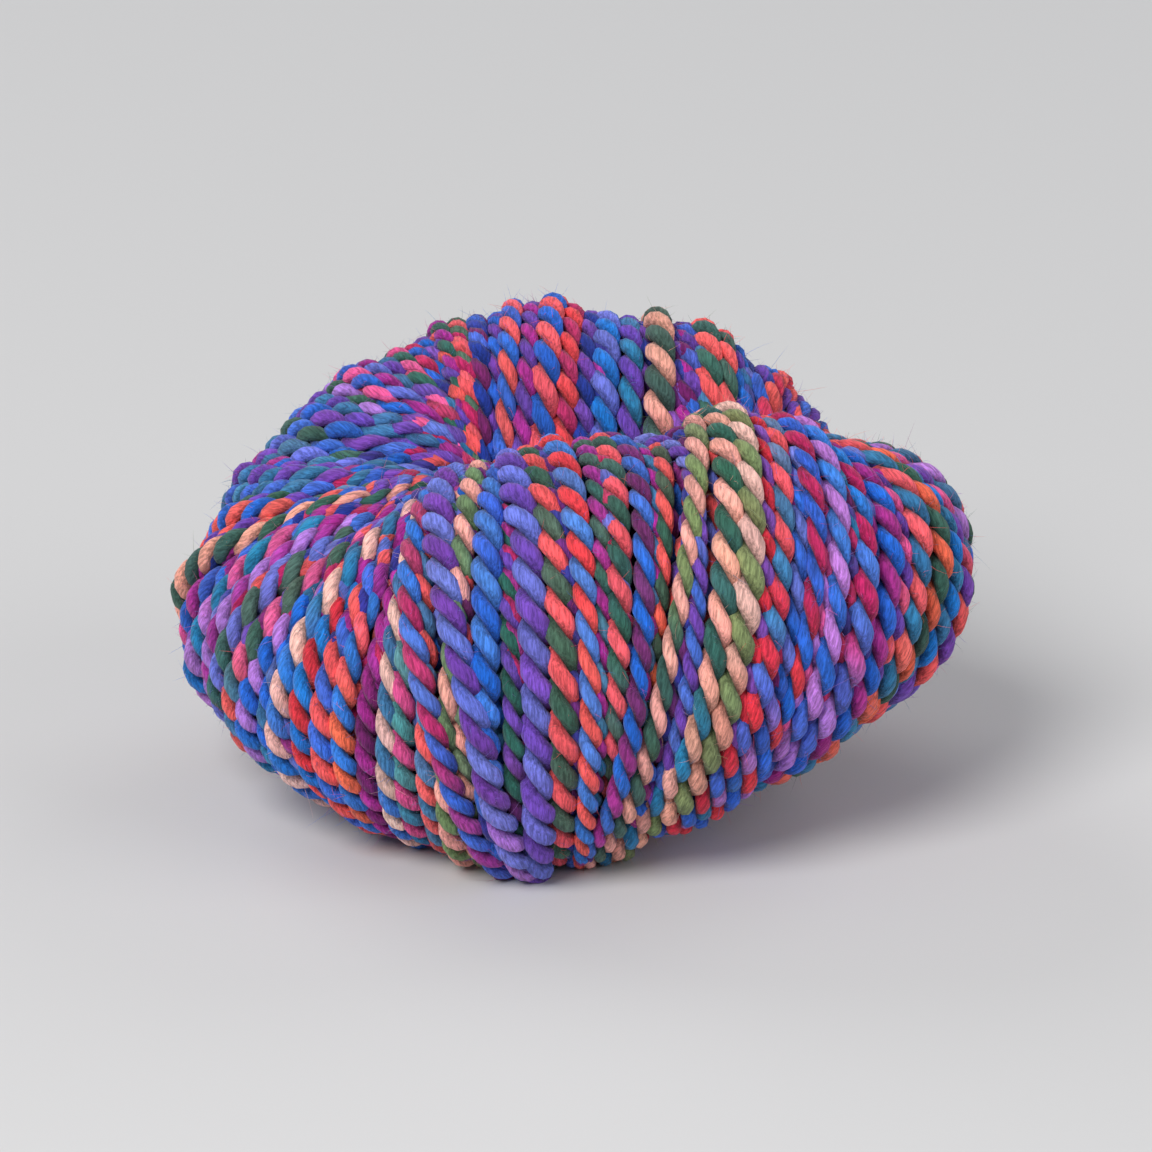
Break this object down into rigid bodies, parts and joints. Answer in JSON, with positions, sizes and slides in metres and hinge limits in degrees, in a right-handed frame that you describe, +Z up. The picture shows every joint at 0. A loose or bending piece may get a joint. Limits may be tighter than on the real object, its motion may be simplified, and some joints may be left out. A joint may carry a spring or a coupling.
{
  "type": "yarn cake",
  "caption": "Soft pinched ring-shaped cake of wound two-ply marled yarn, its hole closed to a short slit on top, lying on a small flat spot.",
  "frame": {"origin": "centre of the bounding box at its lowest plane, on the surface that the cake lies on", "axes": "+Z up, +X along the cake's long side and roughly along its slit, -Y towards the front"},
  "size_m": [0.085, 0.074, 0.0482],
  "materials": {
    "yarn": "matt, slightly fuzzy two-ply yarn in blue, violet, coral, peach, magenta and green"
  },
  "bodies": {
    "root": {"yarn_cake": "yarn"}
  },
  "joints": []
}
